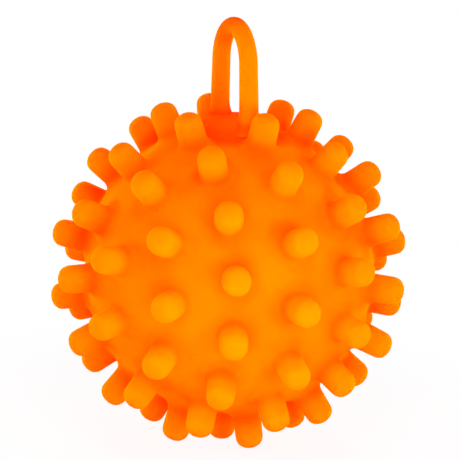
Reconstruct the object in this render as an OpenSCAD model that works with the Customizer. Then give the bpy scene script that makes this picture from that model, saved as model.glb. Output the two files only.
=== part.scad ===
// Soft rubber sensory ball: a hollow skin set with blunt nubs in rings,
// closed at the top by a stopper that carries a finger loop.

/* [Ball skin] */
// Outside diameter of the hollow skin, between the nubs
skin_d = 72; // [64:1:84]
// Wall of the skin
skin_wall = 3; // [2:0.25:5]

/* [Nubs] */
// How far a nub's tip stands off the skin
nub_len = 9; // [7:0.5:13]
// Diameter of a nub where it leaves the skin
nub_root_d = 7.1; // [6:0.1:8]
// Diameter of a nub at the shoulder of its dome
nub_tip_d = 6.8; // [5:0.1:7]
// Height of the dome above its shoulder
nub_dome_h = 2.4; // [1.6:0.1:3]
// Radius of the fillet round a nub's root
nub_fillet = 1.2; // [0.5:0.1:1.6]
// Thickness of the fillet's edge on the skin
nub_rim = 0.1; // [0.05:0.05:0.3]
// Nubs in the first ring round each side of the ball
inner_ring_nubs = 6; // [4:1:7]
// Nubs in the second ring
middle_ring_nubs = 12; // [8:1:14]
// Nubs in the third ring, set half a step round
outer_ring_nubs = 16; // [12:2:18]
// Places in the middle ring, of which the loop takes the top one
equator_places = 16; // [12:2:16]

/* [Stopper] */
// Diameter of the raised foot that the loop stands on
foot_d = 20; // [18:0.5:21]
// Height of the foot's flat top above the top of the skin
foot_rise = 2.3; // [1.5:0.1:4]
// Radius round the foot's top edge
foot_edge_r = 1; // [0.4:0.1:1.4]
// Thickness of the skin where the stopper clamps it
neck_wall = 3; // [2:0.25:4]
// Diameter of the hole that the stopper plugs
mouth_d = 12; // [9:0.5:13]
// Diameter of the lip that holds the stopper from inside
lip_d = 15.4; // [14:0.2:16.4]
// Height of the tapered lip
lip_h = 3.2; // [2:0.2:5]
// Height of the lip's straight rim
lip_rim = 1; // [0.6:0.1:1.6]

/* [Finger loop] */
// Thickness of the round strand
strand_d = 4.7; // [3:0.1:5.5]
// Clear width inside the loop
loop_gap_w = 12; // [10:0.2:15]
// Height of the loop's top above the foot
loop_h = 24.7; // [20:0.1:36]

/* [Clearances] */
// Gap between the loop's round ends and the foot
hinge_gap = 0.3; // [0.2:0.05:0.5]
// Gap between the foot and the nubs beside it
foot_gap = 0.3; // [0.2:0.05:0.6]
// Gap between the stopper's stem and its hole
stem_gap = 0.15; // [0.1:0.05:0.3]

/* [Hidden] */

$fn = 96;
// Sides of the small round parts
fine_fn = 48;

skin_r = skin_d / 2;
cavity_r = skin_r - skin_wall;
// The rings lie at equal angles from the left pole to the right one
ring_step = 90 / 4;

// The ball's lowest nub tip is at z = 0
tip_r = skin_r + nub_len;
ball_z = tip_r;

root_r = nub_root_d / 2;
nub_r = nub_tip_d / 2;
shoulder_h = tip_r - nub_dome_h;
dome_r = (nub_r * nub_r + nub_dome_h * nub_dome_h) / (2 * nub_dome_h);
// The fillet's edge, and its height above the ball's centre
flare_r = root_r + nub_fillet;
flare_h = sqrt(skin_r * skin_r - flare_r * flare_r) + nub_rim;

foot_r = foot_d / 2;
foot_top = skin_r + foot_rise;
// The skin has a flat under the foot, outside and in
seat_h = sqrt(skin_r * skin_r - foot_r * foot_r);
neck_h = seat_h - neck_wall;
mouth_r = mouth_d / 2;
stem_r = mouth_r - stem_gap;
lip_r = lip_d / 2;

strand_r = strand_d / 2;
arch_r = loop_gap_w / 2 + strand_r;
// The loop bends about the centres of its round ends
hinge_h = foot_top + hinge_gap + strand_r;
arch_h = foot_top + loop_h - strand_r - arch_r;

rubber = "darkorange";
rubber_deep = "orangered";

// Half outline of a nub, with the ball's centre at the origin
module nub_outline() {
  polygon([
    [0, flare_h - nub_fillet],
    [root_r, flare_h - nub_fillet],
    [root_r, flare_h + nub_fillet],
    [nub_r, shoulder_h],
    [0, shoulder_h]
  ]);
  difference() {
    translate([0, flare_h - nub_fillet])
      square([flare_r, 2 * nub_fillet]);
    translate([flare_r, flare_h + nub_fillet])
      circle(r = nub_fillet, $fn = fine_fn);
  }
  intersection() {
    translate([0, tip_r - dome_r])
      circle(r = dome_r, $fn = fine_fn);
    translate([0, shoulder_h])
      square([nub_r, nub_dome_h]);
  }
}

// One nub standing straight up from the skin, hollowed to its curve
module nub() {
  difference() {
    rotate_extrude($fn = fine_fn)
      nub_outline();
    sphere(r = skin_r);
  }
}

// A ring of nubs round the left-to-right axis. The angle is counted from
// the left pole; turns are counted from the top of the ball.
module nub_ring(angle, count, first_turn = 0, first = 0) {
  color(rubber)
    translate([0, 0, ball_z])
      for (i = [first : count - 1])
        rotate([first_turn + i * 360 / count, 0, 0])
          rotate([0, angle - 90, 0])
            nub();
}

module ball_skin() {
  color(rubber_deep)
    translate([0, 0, ball_z])
      difference() {
        sphere(r = skin_r);
        difference() {
          sphere(r = cavity_r);
          translate([-skin_r, -skin_r, neck_h])
            cube([skin_d, skin_d, skin_r]);
        }
        translate([-skin_r, -skin_r, seat_h])
          cube([skin_d, skin_d, skin_r]);
        cylinder(r = mouth_r, h = skin_r);
      }
}

module nub_left_pole() {
  nub_ring(0, 1);
}

module nubs_left_inner() {
  nub_ring(ring_step, inner_ring_nubs);
}

module nubs_left_middle() {
  nub_ring(2 * ring_step, middle_ring_nubs);
}

module nubs_left_outer() {
  nub_ring(3 * ring_step, outer_ring_nubs, 180 / outer_ring_nubs);
}

// The loop takes the top place, and its foot trims the two nubs beside it
module nubs_equator() {
  color(rubber)
    difference() {
      nub_ring(4 * ring_step, equator_places, first = 1);
      translate([0, 0, ball_z + cavity_r])
        cylinder(r = foot_r + foot_gap, h = nub_len);
    }
}

module nubs_right_outer() {
  nub_ring(5 * ring_step, outer_ring_nubs, 180 / outer_ring_nubs);
}

module nubs_right_middle() {
  nub_ring(6 * ring_step, middle_ring_nubs);
}

module nubs_right_inner() {
  nub_ring(7 * ring_step, inner_ring_nubs);
}

module nub_right_pole() {
  nub_ring(8 * ring_step, 1);
}

// Half outline of the stopper: foot, stem and tapered lip
module stopper_outline() {
  difference() {
    polygon([
      [0, foot_top],
      [foot_r, foot_top],
      [foot_r, seat_h],
      [stem_r, seat_h],
      [stem_r, neck_h],
      [lip_r, neck_h],
      [lip_r, neck_h - lip_rim],
      [stem_r, neck_h - lip_h],
      [0, neck_h - lip_h]
    ]);
    // Rounds the foot's top edge
    translate([foot_r - foot_edge_r, foot_top - foot_edge_r])
      difference() {
        square(2 * foot_edge_r);
        circle(r = foot_edge_r, $fn = fine_fn);
      }
  }
}

module loop_stopper() {
  color(rubber_deep)
    translate([0, 0, ball_z])
      rotate_extrude()
        stopper_outline();
}

// One straight limb with a round end
module loop_limb() {
  rotate_extrude($fn = fine_fn) {
    square([strand_r, arch_h - hinge_h]);
    intersection() {
      circle(r = strand_r);
      translate([0, -strand_r])
        square([strand_r, strand_r]);
    }
  }
}

module finger_loop() {
  color(rubber)
    translate([0, 0, ball_z]) {
      for (side = [-1, 1])
        translate([0, side * arch_r, hinge_h])
          loop_limb();
      translate([0, 0, arch_h])
        rotate([90, 0, 90])
          rotate_extrude(angle = 180)
            translate([arch_r, 0])
              circle(r = strand_r, $fn = fine_fn);
    }
}

ball_skin();
nub_left_pole();
nubs_left_inner();
nubs_left_middle();
nubs_left_outer();
nubs_equator();
nubs_right_outer();
nubs_right_middle();
nubs_right_inner();
nub_right_pole();
loop_stopper();
finger_loop();
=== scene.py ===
import math

import bmesh
import bpy
import numpy as np
from mathutils import Matrix, Vector


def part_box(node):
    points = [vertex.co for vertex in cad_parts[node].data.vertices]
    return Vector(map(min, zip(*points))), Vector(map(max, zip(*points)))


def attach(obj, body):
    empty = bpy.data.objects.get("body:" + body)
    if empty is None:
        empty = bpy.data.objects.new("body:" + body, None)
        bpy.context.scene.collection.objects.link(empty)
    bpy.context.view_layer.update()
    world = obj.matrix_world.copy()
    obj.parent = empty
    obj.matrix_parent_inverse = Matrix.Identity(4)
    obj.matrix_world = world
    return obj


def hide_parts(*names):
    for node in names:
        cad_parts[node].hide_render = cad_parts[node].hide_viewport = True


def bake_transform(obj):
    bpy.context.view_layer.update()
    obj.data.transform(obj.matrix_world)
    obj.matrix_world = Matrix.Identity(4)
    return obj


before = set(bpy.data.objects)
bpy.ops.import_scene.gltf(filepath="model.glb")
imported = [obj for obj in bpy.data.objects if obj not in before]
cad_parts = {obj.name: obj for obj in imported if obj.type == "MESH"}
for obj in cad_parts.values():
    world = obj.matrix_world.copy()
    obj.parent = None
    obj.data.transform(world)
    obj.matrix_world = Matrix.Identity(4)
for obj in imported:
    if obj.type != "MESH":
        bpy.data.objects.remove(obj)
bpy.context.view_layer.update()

# Moulded ball
# One hollow moulding of soft translucent orange rubber: a round skin with blunt nubs
# in rings round its left-to-right mould axis, which run into it with small fillets.
BALL_NODES = [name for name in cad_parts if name.startswith(("ball_", "nub"))]
nub_low, nub_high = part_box("nubs_equator")
TIP_R = nub_high.y
BALL_CENTRE = Vector((0, 0, nub_low.z + TIP_R))
SKIN_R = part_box("ball_skin")[1].x
NUB_LEN = TIP_R - SKIN_R
NUB_ROOT_R = 0.00355
NUB_TIP_R = 0.00340
NUB_DOME_H = 0.0028
# The dome's outline: 2 is an ellipse, and a larger value is blunter
NUB_BLUNT = 2.15
NUB_FILLET = 0.0014
# How deep a nub is set into the skin before the two are fused
NUB_SINK = 0.0020
NUB_SIDES = 32
DOME_STEPS = 12
ARC_STEPS = 8
RING_STEP = math.radians(22.5)
# Nubs in each ring from the left pole to the right one
RING_COUNTS = [1, 6, 12, 16, 16, 16, 12, 6, 1]
# The rings set half a step round, and the ring whose top place the loop takes
HALF_STEP_RINGS = (3, 5)
LOOP_RING = 4
SKIN_SUBDIVISIONS = 6
# The grid on which skin and nubs are fused, and how the result is softened
SKIN_VOXEL = 0.00068
SOFTEN_SHARE = 0.5
SOFTEN_PASSES = 2


def arc(centre, radius, start, end):
    """Points of an arc in a plane, from one angle in degrees to another."""
    points = []
    for i in range(ARC_STEPS + 1):
        turn = math.radians(start + (end - start) * i / ARC_STEPS)
        points.append((centre[0] + radius * math.cos(turn), centre[1] + radius * math.sin(turn)))
    return points


def revolve(name, outline, sides):
    """A closed mesh turned from a half outline of (radius, height), from axis to axis."""
    shape = bmesh.new()
    bottom = shape.verts.new((0, 0, outline[0][1]))
    top = shape.verts.new((0, 0, outline[-1][1]))
    rows = []
    for j in range(sides):
        turn = 2 * math.pi * j / sides
        rows.append([shape.verts.new((r * math.cos(turn), r * math.sin(turn), z))
                     for r, z in outline[1:-1]])
    for one, two in zip(rows, rows[1:] + rows[:1]):
        shape.faces.new((bottom, two[0], one[0]))
        for i in range(len(one) - 1):
            shape.faces.new((one[i], two[i], two[i + 1], one[i + 1]))
        shape.faces.new((one[-1], two[-1], top))
    bmesh.ops.recalc_face_normals(shape, faces=shape.faces)
    mesh = bpy.data.meshes.new(name)
    shape.to_mesh(mesh)
    shape.free()
    return mesh


def nub_outline():
    """Half outline of a nub that stands on the skin at height 0."""
    shoulder = NUB_LEN - NUB_DOME_H
    flare = (NUB_ROOT_R + NUB_FILLET, NUB_FILLET)
    points = [(0, -NUB_SINK), (flare[0], -NUB_SINK)]
    points += arc(flare, NUB_FILLET, 270, 180)
    for i in range(DOME_STEPS + 1):
        turn = math.pi / 2 * i / DOME_STEPS
        points.append((NUB_TIP_R * math.cos(turn) ** (2 / NUB_BLUNT),
                       shoulder + NUB_DOME_H * math.sin(turn) ** (2 / NUB_BLUNT)))
    return points


class Sock:
    """A node's output socket with Python's operators, which add Math nodes."""

    def __init__(self, nodes, socket):
        self.nodes = nodes
        self.socket = socket

    def maths(self, operation, first, second):
        return self.nodes.node("ShaderNodeMath", [first, second], operation=operation)

    def __add__(self, other):
        return self.maths("ADD", self, other)

    __radd__ = __add__

    def __mul__(self, other):
        return self.maths("MULTIPLY", self, other)

    __rmul__ = __mul__

    def __sub__(self, other):
        return self.maths("SUBTRACT", self, other)

    def __rsub__(self, other):
        return self.maths("SUBTRACT", other, self)

    def above(self, other):
        return self.maths("GREATER_THAN", self, other)

    def most(self, other):
        return self.maths("MAXIMUM", self, other)


def set_stops(ramp, stops):
    """Gives a colour ramp these stops of (place, colour)."""
    while len(ramp.elements) < len(stops):
        ramp.elements.new(1)
    for element, (place, colour) in zip(ramp.elements, stops):
        element.position = place
        element.color = (*colour, 1)


class Nodes:
    """The nodes of one tree, which starts empty."""

    def __init__(self, tree):
        self.tree = tree
        self.tree.nodes.clear()

    def node(self, kind, inputs=(), output=0, **settings):
        """Adds a node by type, settings and inputs, where a list is several links to one input."""
        made = self.tree.nodes.new(kind)
        for key, value in settings.items():
            if key == "stops":
                set_stops(made.color_ramp, value)
            else:
                setattr(made, key, value)
        pairs = inputs.items() if isinstance(inputs, dict) else enumerate(inputs)
        for key, value in pairs:
            for one in value if isinstance(value, list) else [value]:
                if isinstance(one, Sock):
                    self.tree.links.new(one.socket, made.inputs[key])
                else:
                    made.inputs[key].default_value = one
        return Sock(self, made.outputs[output]) if made.outputs else made


def nub_tree(material):
    """Rings of nubs on a round skin, with the sizes as named inputs."""
    tree = bpy.data.node_groups.new("nub_rings", "GeometryNodeTree")
    tree.interface.new_socket("Geometry", in_out="OUTPUT", socket_type="NodeSocketGeometry")
    tree.interface.new_socket("Skin Radius", in_out="INPUT", socket_type="NodeSocketFloat")
    tree.interface.new_socket("Nub", in_out="INPUT", socket_type="NodeSocketObject")
    tree.interface.new_socket("Centre", in_out="INPUT", socket_type="NodeSocketVector")
    nodes = Nodes(tree)
    skin_radius = nodes.node("NodeGroupInput", output="Skin Radius")
    nub = nodes.node("NodeGroupInput", output="Nub")
    centre = nodes.node("NodeGroupInput", output="Centre")
    rings = []
    for k, count in enumerate(RING_COUNTS):
        angle = k * RING_STEP
        if count == 1:
            ring = nodes.node("GeometryNodeMeshLine", {"Count": 1})
        else:
            ring = nodes.node("GeometryNodeMeshCircle", {"Vertices": count, "Radius": math.sin(angle)})
        if k == LOOP_RING:
            index = nodes.node("GeometryNodeInputIndex")
            # A Compare node takes whole numbers on its sockets 2 and 3
            top = nodes.node("FunctionNodeCompare", {2: index, 3: 0}, data_type="INT", operation="EQUAL")
            ring = nodes.node("GeometryNodeDeleteGeometry", {"Geometry": ring, "Selection": top},
                              domain="POINT")
        turn = math.pi / count if k in HALF_STEP_RINGS else 0
        rings.append(nodes.node("GeometryNodeTransform", {
            "Geometry": ring, "Translation": (0, 0, math.cos(angle)), "Rotation": (0, 0, turn)}))
    all_rings = nodes.node("GeometryNodeJoinGeometry", {"Geometry": rings})
    laid = nodes.node("GeometryNodeTransform", {"Geometry": all_rings, "Rotation": (0, -math.pi / 2, 0)})
    size = nodes.node("ShaderNodeCombineXYZ", [skin_radius, skin_radius, skin_radius])
    seats = nodes.node("GeometryNodeTransform", {"Geometry": laid, "Scale": size})
    outward = nodes.node("GeometryNodeInputPosition")
    stand = nodes.node("FunctionNodeAlignRotationToVector", {"Vector": outward}, axis="Z")
    shape = nodes.node("GeometryNodeObjectInfo", {"Object": nub}, output="Geometry")
    nubs = nodes.node("GeometryNodeInstanceOnPoints",
                      {"Points": seats, "Instance": shape, "Rotation": stand})
    skin = nodes.node("GeometryNodeMeshIcoSphere",
                      {"Radius": skin_radius, "Subdivisions": SKIN_SUBDIVISIONS})
    whole = nodes.node("GeometryNodeJoinGeometry", {"Geometry": [skin, nubs]})
    moved = nodes.node("GeometryNodeTransform", {"Geometry": whole, "Translation": centre})
    real = nodes.node("GeometryNodeRealizeInstances", {"Geometry": moved})
    dressed = nodes.node("GeometryNodeSetMaterial", {"Geometry": real, "Material": material})
    nodes.node("NodeGroupOutput", {"Geometry": dressed})
    return tree


def set_input(modifier, name, value):
    """Sets a tree's input on its modifier, by the socket's identifier."""
    for item in modifier.node_group.interface.items_tree:
        if item.name == name and item.in_out == "INPUT":
            modifier[item.identifier] = value


# The red of painted shade, where the stored tone falls towards 0
SHADE_RED = (1.0, 0.05, 0.0)
BODY_ORANGE = (1.0, 0.20, 0.0)
TIP_ORANGE = (1.0, 0.23, 0.0)
# How pale the open skin is, between the painted shade red of roots and creases at 0 and the tips at 1
BODY_PALE = 0.55
ROUGHNESS = 0.5
# Soft clouds in the colour and the roughness. Noise lies round its middle value.
NOISE_MIDDLE = 0.5
CLOUD_SCALE = 60.0
CLOUD_TINT = 0.5
CLOUD_ROUGHNESS = 0.12
# Fine matt grain
GRAIN_SCALE = 1800.0
GRAIN_STRENGTH = 0.06
GRAIN_DEPTH = 0.0002
# Small dark specks, in a few of the cells of a pattern
SPECK_BROWN = (0.35, 0.02, 0.0)
SPECK_SCALE = 150.0
SPECK_SIZE = 0.028
SPECK_RARE = 0.86
SPECK_STRENGTH = 0.6
# Light that spreads in the rubber, and a painted red glow: emission that stands in for the red light
# carried through the rubber, so the rubber glows though it is no lamp
SPREAD_DEPTH = 0.005
SPREAD_COLOURS = (1.0, 0.7, 0.1)
PAINTED_GLOW_RED = (1.0, 0.02, 0.0, 1)
PAINTED_GLOW_STRENGTH = 0.30


def soft_rubber(name):
    """Matt translucent rubber, with painted shade red in the hollows, pale at the tips, and a constant
    painted red glow.
    """
    material = bpy.data.materials.new(name)
    material.use_nodes = True
    nodes = Nodes(material.node_tree)
    place = nodes.node("ShaderNodeTexCoord", output="Object")
    pale = nodes.node("ShaderNodeAttribute", output="Fac", attribute_name="pale")
    noise = nodes.node("ShaderNodeTexNoise", noise_dimensions="3D", inputs={
        "Vector": place, "Scale": CLOUD_SCALE, "Detail": 2.0, "Roughness": 0.5})
    cloud = noise - NOISE_MIDDLE
    # Low tone values give painted shade, in the shade red
    tint = nodes.node("ShaderNodeValToRGB", [pale + cloud * CLOUD_TINT], stops=[
        (0.0, SHADE_RED), (BODY_PALE, BODY_ORANGE), (1.0, TIP_ORANGE)])
    grain = nodes.node("ShaderNodeTexNoise", noise_dimensions="3D", inputs={
        "Vector": place, "Scale": GRAIN_SCALE, "Detail": 3.0, "Roughness": 0.6})
    bump = nodes.node("ShaderNodeBump", {
        "Height": grain, "Strength": GRAIN_STRENGTH, "Distance": GRAIN_DEPTH})
    cells = {"Vector": place, "Scale": SPECK_SCALE}
    dot = nodes.node("ShaderNodeTexVoronoi", cells, output="Distance", voronoi_dimensions="3D")
    cell_colour = nodes.node("ShaderNodeTexVoronoi", cells, output="Color", voronoi_dimensions="3D")
    pick = nodes.node("ShaderNodeSeparateColor", [cell_colour])
    speck = (1 - dot.above(SPECK_SIZE)) * pick.above(SPECK_RARE)
    # A Mix node takes its factor on socket 0 and its colours on 6 and 7, and gives colour on 2
    spotted = nodes.node("ShaderNodeMix", {0: speck * SPECK_STRENGTH, 6: tint, 7: (*SPECK_BROWN, 1)},
                         output=2, data_type="RGBA")
    surface = nodes.node("ShaderNodeBsdfPrincipled", {
        "Base Color": spotted,
        "Roughness": ROUGHNESS + cloud * CLOUD_ROUGHNESS,
        "Normal": bump,
        "Subsurface Weight": 1.0,
        "Subsurface Radius": SPREAD_COLOURS,
        "Subsurface Scale": SPREAD_DEPTH,
        "Specular IOR Level": 0.0,
        # Painted light: a constant red glow over the whole surface
        "Emission Color": PAINTED_GLOW_RED,
        "Emission Strength": PAINTED_GLOW_STRENGTH,
    })
    nodes.node("ShaderNodeOutputMaterial", {"Surface": surface})
    return material


def smooth_step(value, low, high):
    """0 below low and 1 above high, with an even start and end."""
    part = np.clip((value - low) / (high - low), 0, 1)
    return part * part * (3 - 2 * part)


def vertex_places(mesh):
    """The mesh's vertex places as rows of x, y, z."""
    places = np.empty(len(mesh.vertices) * 3)
    mesh.vertices.foreach_get("co", places)
    return places.reshape(-1, 3)


def store_tone_and_shade(mesh, values):
    """Keeps the rubber's tone at each vertex, painted shade included, for the material to read."""
    pale = mesh.attributes.new("pale", "FLOAT", "POINT")
    pale.data.foreach_set("value", values.astype(np.float32))


def nub_directions():
    """Unit directions of the nubs from the ball's centre, ring by ring."""
    rows = []
    for k, count in enumerate(RING_COUNTS):
        across = math.sin(k * RING_STEP)
        for i in range(1 if k == LOOP_RING else 0, count):
            turn = 2 * math.pi * (i + (0.5 if k in HALF_STEP_RINGS else 0)) / count
            rows.append((-math.cos(k * RING_STEP), across * math.sin(turn), across * math.cos(turn)))
    return np.array(rows)


# Painted shade: the skin is painted redder round a nub's root, as in shade: how much, how far out and
# how high
ROOT_SHADE = 0.25
ROOT_SHADE_W = 0.0042
ROOT_SHADE_H = 0.0060
# Painted shade: a nub's wall is painted redder than the skin, as if in shade, and
# turns paler to its tip. It leaves the skin's colour between the first two heights
# and is palest at the third.
WALL_SHADE_TONE = 0.20
TIP_PALE = 0.8
WALL_START_H = 0.0004
WALL_H = 0.0018
TIP_H = 0.0080
foot_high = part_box("loop_stopper")[1]
FOOT_R = foot_high.x
FOOT_TOP = foot_high.z
# Painted shade: how pale the rubber is painted on the loop's foot and in the crease round it,
# as in shade, and how far the red of this painted shade runs out over the skin and up the nubs
FOOT_SHADE_TONE = 0.16
CREASE_SHADE_TONE = 0.02
CREASE_W = 0.0012
FOOT_SHADE_W = 0.0060
FOOT_SHADE_H = 0.0018


def foot_tone_and_shade(off_axis):
    """The rubber's tone at a distance from the foot's axis, with painted shade on the foot, darkest in
    the crease round it.
    """
    inside = 1 - smooth_step(off_axis, FOOT_R - CREASE_W, FOOT_R + CREASE_W)
    outside = smooth_step(off_axis, FOOT_R + CREASE_W, FOOT_R + FOOT_SHADE_W)
    return CREASE_SHADE_TONE + (FOOT_SHADE_TONE - CREASE_SHADE_TONE) * inside + (BODY_PALE - CREASE_SHADE_TONE) * outside


def ball_tone_and_shade(mesh):
    """Pale at the nubs' tips and plain on the open skin, with painted shade: red round the roots, up the
    walls and round the loop's foot.
    """
    out = vertex_places(mesh) - np.array(BALL_CENTRE)
    reach = np.linalg.norm(out, axis=1)
    height = reach - SKIN_R
    nearest = np.clip((out / reach[:, None] @ nub_directions().T).max(axis=1), -1, 1)
    off_axis = reach * np.sqrt(1 - nearest ** 2)
    # Painted shade round each nub's root
    painted_root_shade = 1 - smooth_step(off_axis, NUB_ROOT_R, NUB_ROOT_R + ROOT_SHADE_W)
    painted_root_shade = ROOT_SHADE * painted_root_shade * (1 - smooth_step(height, 0, ROOT_SHADE_H))
    # Painted shade up each nub's wall, fading towards the tip
    wall = smooth_step(height, WALL_START_H, WALL_H)
    nub_tone_and_shade = WALL_SHADE_TONE + (TIP_PALE - WALL_SHADE_TONE) * smooth_step(height, 0, TIP_H)
    pale = BODY_PALE * (1 - painted_root_shade) * (1 - wall) + nub_tone_and_shade * wall
    # Painted shade of the foot and its crease runs out over the top of the skin
    foot_shade_reach = (out[:, 2] > 0) * (1 - smooth_step(height, 0, FOOT_SHADE_H))
    return pale + foot_shade_reach * np.minimum(0, foot_tone_and_shade(np.hypot(out[:, 0], out[:, 1])) - pale)


def add_object(name, data):
    """A new object in the scene, at the origin."""
    made = bpy.data.objects.new(name, data)
    bpy.context.scene.collection.objects.link(made)
    return made


def to_plain_mesh(blank, name):
    """The evaluated object as a new plain mesh object, with its modifiers gone."""
    evaluated = blank.evaluated_get(bpy.context.evaluated_depsgraph_get())
    mesh = bpy.data.meshes.new_from_object(evaluated)
    mesh.name = name
    bpy.data.objects.remove(blank)
    return add_object(name, mesh)


ball_rubber = soft_rubber("ball_rubber")
nub_shape = add_object("nub_shape", revolve("nub_shape", nub_outline(), NUB_SIDES))
ball_blank = add_object("ball_blank", bpy.data.meshes.new("ball_blank"))
nub_rings = ball_blank.modifiers.new("nub_rings", "NODES")
nub_rings.node_group = nub_tree(ball_rubber)
set_input(nub_rings, "Skin Radius", SKIN_R)
set_input(nub_rings, "Nub", nub_shape)
set_input(nub_rings, "Centre", BALL_CENTRE)
fuse = ball_blank.modifiers.new("fuse", "REMESH")
fuse.mode = "VOXEL"
fuse.voxel_size = SKIN_VOXEL
soften = ball_blank.modifiers.new("soften", "SMOOTH")
soften.factor = SOFTEN_SHARE
soften.iterations = SOFTEN_PASSES
ball = to_plain_mesh(ball_blank, "moulded_ball")
bpy.data.objects.remove(nub_shape)
ball.data.materials.clear()
ball.data.materials.append(ball_rubber)
ball.data.shade_smooth()
store_tone_and_shade(ball.data, ball_tone_and_shade(ball.data))
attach(ball, "ball")
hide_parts(*BALL_NODES)

# Loop stopper
# A round plug of the same rubber, pressed into the mouth at the top of the ball.
# Only its foot shows, a low disc with a soft top edge that the loop stands on.
FOOT_EDGE_R = 0.0020
# How far the foot reaches down into the ball
FOOT_SEAT_H = 0.0070
FOOT_FILLET = 0.0024
# How far the fillet's edge dips into the skin, and the angle in degrees at which its arc starts
FOOT_SINK = 0.0004
FILLET_START = 250
FOOT_SIDES = 96
loop_rubber = soft_rubber("loop_rubber")


def foot_outline():
    """Half outline of the foot, which runs out onto the skin in a hollow fillet."""
    brim = FOOT_R + FOOT_FILLET
    skin_z = BALL_CENTRE.z + math.sqrt(SKIN_R ** 2 - brim ** 2)
    points = [(0, FOOT_TOP - FOOT_SEAT_H), (brim, FOOT_TOP - FOOT_SEAT_H), (brim, skin_z - FOOT_SINK)]
    points += arc((brim, skin_z + FOOT_FILLET), FOOT_FILLET, FILLET_START, 180)
    points += arc((FOOT_R - FOOT_EDGE_R, FOOT_TOP - FOOT_EDGE_R), FOOT_EDGE_R, 0, 90)
    return points + [(0, FOOT_TOP)]


foot = add_object("loop_foot", revolve("loop_foot", foot_outline(), FOOT_SIDES))
foot.data.materials.append(loop_rubber)
foot.data.shade_smooth()
foot_places = vertex_places(foot.data)
store_tone_and_shade(foot.data, foot_tone_and_shade(np.hypot(foot_places[:, 0], foot_places[:, 1])))
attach(foot, "ball")
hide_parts("loop_stopper")

# Finger loop
# A round strand of rubber moulded onto the foot: two limbs that lean together a
# little under a round top.
loop_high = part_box("finger_loop")[1]
STRAND_R = loop_high.x
ARCH_R = loop_high.y - STRAND_R
ARCH_Z = loop_high.z - STRAND_R - ARCH_R
# The limbs start inside the foot and swell towards each other at their roots
ROOT_SINK = 0.0030
ROOT_FLARE = 0.0045
ROOT_FLARE_H = 0.0065
ROOT_FLARE_POWER = 2.5
# The soft strand stands a little left of the foot's middle and leans left, by this slope
LOOP_ASIDE = 0.00063
LOOP_SET = 0.04
# How far the limbs lean together and the strand thins towards its top, as shares
LOOP_TAPER = 0.10
TOP_THIN = 0.06
# Painted light and shade: the front limb is painted paler, as lit, than the rear one, and the rear of
# the arch redder, as in shade
FRONT_LIMB_LIT_TONE = 0.95
REAR_LIMB_SHADE_TONE = 0.62
ARCH_SHADE_TONE = 0.26
# Where the front limb's colour starts to change, as a share of the arch's radius
FRONT_LIMB_Y = -0.8
# Heights from the foot's top between which the limbs leave the foot's painted shade and take on their
# own painted light and shade
LIMB_COLOUR_LOW = -0.0010
LIMB_COLOUR_HIGH = 0.0025
STRAND_SIDES = 32
LIMB_STEPS = 40
ARCH_STEPS = 48


def loop_stations():
    """Centre, tangent and inward flare of an upright strand from root to root."""
    limb = []
    for i in range(LIMB_STEPS):
        z = FOOT_TOP - ROOT_SINK + (ARCH_Z - FOOT_TOP + ROOT_SINK) * i / LIMB_STEPS
        near = max(0.0, 1 - (z - FOOT_TOP + ROOT_SINK) / ROOT_FLARE_H)
        limb.append((z, ROOT_FLARE * near ** ROOT_FLARE_POWER))
    stations = [((ARCH_R, z), (0, 1), flare) for z, flare in limb]
    for i in range(ARCH_STEPS + 1):
        turn = math.pi * i / ARCH_STEPS
        centre = (ARCH_R * math.cos(turn), ARCH_Z + ARCH_R * math.sin(turn))
        stations.append((centre, (-math.sin(turn), math.cos(turn)), 0))
    stations += [((-ARCH_R, z), (0, -1), flare) for z, flare in reversed(limb)]
    return stations


def loop_mesh(name):
    """The leaning strand as rings of points along its centre line, closed at the roots."""
    shape = bmesh.new()
    rows = []
    for (y, z), (along_y, along_z), flare in loop_stations():
        across = Vector((0, along_z, -along_y))
        lift = smooth_step(z, FOOT_TOP, ARCH_Z + ARCH_R)
        lean = LOOP_ASIDE + LOOP_SET * max(0, z - FOOT_TOP)
        centre = Vector((-lean, y * (1 - LOOP_TAPER * lift), z))
        radius = STRAND_R * (1 - TOP_THIN * lift)
        row = []
        for j in range(STRAND_SIDES):
            turn = 2 * math.pi * j / STRAND_SIDES
            spoke = across * math.cos(turn) + Vector((1, 0, 0)) * math.sin(turn)
            inward = (1 - math.cos(turn)) / 2
            row.append(shape.verts.new(centre + spoke * (radius + flare * inward)))
        rows.append(row)
    for one, two in zip(rows, rows[1:]):
        for j in range(STRAND_SIDES):
            k = (j + 1) % STRAND_SIDES
            shape.faces.new((one[j], one[k], two[k], two[j]))
    shape.faces.new(rows[0])
    shape.faces.new(rows[-1])
    bmesh.ops.recalc_face_normals(shape, faces=shape.faces)
    mesh = bpy.data.meshes.new(name)
    shape.to_mesh(mesh)
    shape.free()
    return mesh


def loop_tone_and_shade(mesh):
    """Painted light and shade: pale in front, redder at the rear and under the arch, and as the foot's
    painted shade at the roots.
    """
    places = vertex_places(mesh)
    # Painted light on the front limb and painted shade on the rear limb and arch
    rear = smooth_step(places[:, 1], FRONT_LIMB_Y * ARCH_R, 0)
    pale = FRONT_LIMB_LIT_TONE + (REAR_LIMB_SHADE_TONE - FRONT_LIMB_LIT_TONE) * rear
    arch = rear * smooth_step(places[:, 2], ARCH_Z, ARCH_Z + ARCH_R)
    pale += (ARCH_SHADE_TONE - pale) * arch
    off_foot = smooth_step(places[:, 2] - FOOT_TOP, LIMB_COLOUR_LOW, LIMB_COLOUR_HIGH)
    return FOOT_SHADE_TONE + (pale - FOOT_SHADE_TONE) * off_foot


loop = add_object("finger_loop_strand", loop_mesh("finger_loop_strand"))
loop.data.materials.append(loop_rubber)
loop.data.shade_smooth()
store_tone_and_shade(loop.data, loop_tone_and_shade(loop.data))
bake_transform(loop)
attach(loop, "ball")
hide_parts("finger_loop")

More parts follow.
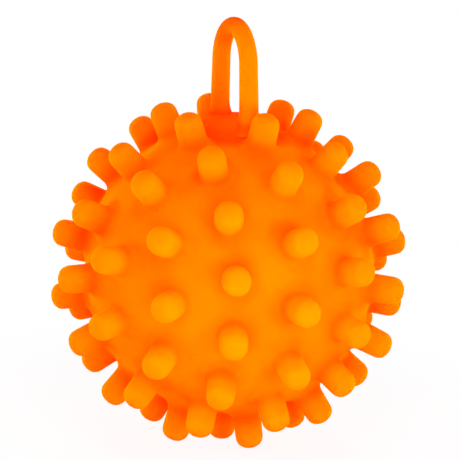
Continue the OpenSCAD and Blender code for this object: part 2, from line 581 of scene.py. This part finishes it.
# Floor
# A plain white sheet of paper under the ball, wide enough to fill the view. It
# keeps a faint shadow round the ball.
FLOOR_HALF = 4.0
# The paper as it lights the ball from below, and as the eye sees it
PAPER_GREY = (0.45, 0.45, 0.45, 1)
PAPER_WHITE = (0.9, 0.9, 0.9, 1)
WHITE = (1, 1, 1, 1)
# How much of the sheet's white hides the shadow close to the ball, and the
# distances between which the shadow fades out
PAPER_GLOW = 0.9
SHADOW_NEAR = 0.06
SHADOW_FAR = 0.14


def seen_rays(nodes):
    """1 for rays that look at a surface, straight, by reflection or through glass."""
    straight = nodes.node("ShaderNodeLightPath", output="Is Camera Ray")
    reflected = nodes.node("ShaderNodeLightPath", output="Is Glossy Ray")
    through = nodes.node("ShaderNodeLightPath", output="Is Transmission Ray")
    return straight.most(reflected).most(through)


def white_paper():
    """Grey paper for light, and white to the eye apart from the ball's shadow."""
    material = bpy.data.materials.new("white_paper")
    material.use_nodes = True
    nodes = Nodes(material.node_tree)
    place = nodes.node("ShaderNodeTexCoord", output="Object")
    reach = nodes.node("ShaderNodeVectorMath", [place], output="Value", operation="LENGTH")
    glow = nodes.node("ShaderNodeMapRange", interpolation_type="SMOOTHSTEP", inputs={
        "Value": reach, "From Min": SHADOW_NEAR, "From Max": SHADOW_FAR,
        "To Min": PAPER_GLOW, "To Max": 1.0})
    shaded = nodes.node("ShaderNodeBsdfDiffuse", {"Color": PAPER_WHITE})
    bright = nodes.node("ShaderNodeEmission", {"Color": WHITE, "Strength": 1.0})
    seen_sheet = nodes.node("ShaderNodeMixShader", [glow, shaded, bright])
    lit_sheet = nodes.node("ShaderNodeBsdfDiffuse", {"Color": PAPER_GREY})
    surface = nodes.node("ShaderNodeMixShader", [seen_rays(nodes), lit_sheet, seen_sheet])
    nodes.node("ShaderNodeOutputMaterial", {"Surface": surface})
    return material


floor_mesh = bpy.data.meshes.new("floor")
floor_mesh.from_pydata([(-FLOOR_HALF, -FLOOR_HALF, 0), (FLOOR_HALF, -FLOOR_HALF, 0),
                        (FLOOR_HALF, FLOOR_HALF, 0), (-FLOOR_HALF, FLOOR_HALF, 0)],
                       [], [(0, 1, 2, 3)])
floor = add_object("floor", floor_mesh)
floor.data.materials.append(white_paper())

# Light
# A white room with near soft lamps: two in front one above the other, one to each
# side, one over the top and three behind.
WORLD_LEVEL = 0.10
room = bpy.data.worlds.new("white_room")
bpy.context.scene.world = room
room.use_nodes = True
room_nodes = Nodes(room.node_tree)
lit_wall = room_nodes.node("ShaderNodeBackground", {"Color": WHITE, "Strength": WORLD_LEVEL})
seen_wall = room_nodes.node("ShaderNodeBackground", {"Color": WHITE, "Strength": 1.0})
wall = room_nodes.node("ShaderNodeMixShader", [seen_rays(room_nodes), lit_wall, seen_wall])
room_nodes.node("ShaderNodeOutputWorld", {"Surface": wall})


def add_lamp(name, turn, rise, distance, size, power):
    """A round soft lamp that faces the ball's centre."""
    data = bpy.data.lights.new(name, "AREA")
    data.shape = "DISK"
    data.size = size
    data.energy = power
    lamp = add_object(name, data)
    way = Vector((math.sin(turn), -math.cos(turn), rise)).normalized()
    lamp.matrix_world = Matrix.LocRotScale(
        BALL_CENTRE + way * distance, (-way).to_track_quat("-Z", "Y"), None)


# The camera's turn round the ball, and the turns of the side lamps from it
VIEW_TURN = math.radians(-25.5)
LEFT_SIDE = math.radians(65)
RIGHT_SIDE = math.radians(35)
BACK_SIDE = math.radians(115)
# How steeply each lamp stands above the ball's centre, as a slope
LOW_RISE = -0.10
LEVEL_RISE = 0.07
FRONT_RISE = 0.25
BACK_RISE = 0.6
TOP_RISE = 1.2
# Distances from the ball's centre
FRONT_REACH = 0.13
SIDE_REACH = 0.18
FAR_REACH = 0.30
add_lamp("low_lamp", VIEW_TURN, LOW_RISE, FRONT_REACH, size=0.05, power=0.050)
add_lamp("front_lamp", VIEW_TURN, FRONT_RISE, FRONT_REACH, size=0.08, power=0.042)
add_lamp("left_lamp", VIEW_TURN - LEFT_SIDE, LEVEL_RISE, SIDE_REACH, size=0.06, power=0.075)
add_lamp("right_lamp", VIEW_TURN + RIGHT_SIDE, LEVEL_RISE, SIDE_REACH, size=0.06, power=0.13)
add_lamp("top_lamp", VIEW_TURN, TOP_RISE, FAR_REACH, size=0.10, power=0.28)
add_lamp("left_back_lamp", VIEW_TURN - BACK_SIDE, LEVEL_RISE, FAR_REACH, size=0.10, power=0.45)
add_lamp("right_back_lamp", VIEW_TURN + BACK_SIDE, LEVEL_RISE, FAR_REACH, size=0.10, power=0.45)
add_lamp("back_lamp", VIEW_TURN + math.pi, BACK_RISE, FAR_REACH, size=0.10, power=0.42)

# Camera
# A long lens a little above the ball, turned to its left and tipped as the
# photograph is.
IMAGE_SIDE = 460
VIEW_RISE = math.radians(14.4)
VIEW_ROLL = math.radians(2.75)
VIEW_DISTANCE = 0.417
VIEW_LENS = 130.2
SENSOR = 36.0
# Where the ball's centre falls in the image, in pixels from the image's centre
CENTRE_RIGHT = -0.8
CENTRE_DOWN = 38.2

from_ball = Vector((math.sin(VIEW_TURN) * math.cos(VIEW_RISE),
                    -math.cos(VIEW_TURN) * math.cos(VIEW_RISE), math.sin(VIEW_RISE)))
tipped_right = Matrix.Rotation(VIEW_ROLL, 3, from_ball) @ Vector((0, 0, 1)).cross(from_ball).normalized()
tipped_up = from_ball.cross(tipped_right)
eye = BALL_CENTRE + from_ball * VIEW_DISTANCE
# Moves the view off the ball's centre, by the size of a pixel at the ball
pixel = SENSOR / IMAGE_SIDE / VIEW_LENS * VIEW_DISTANCE
aim = BALL_CENTRE - tipped_right * CENTRE_RIGHT * pixel + tipped_up * CENTRE_DOWN * pixel
view_back = (eye - aim).normalized()
view_right = tipped_up.cross(view_back).normalized()
view_up = view_back.cross(view_right)
camera_data = bpy.data.cameras.new("camera")
camera_data.lens = VIEW_LENS
camera_data.sensor_width = SENSOR
camera = add_object("camera", camera_data)
view_axes = Matrix((view_right, view_up, view_back)).transposed().to_4x4()
camera.matrix_world = Matrix.Translation(eye) @ view_axes
bpy.context.scene.camera = camera
bpy.context.scene.view_settings.view_transform = "Standard"
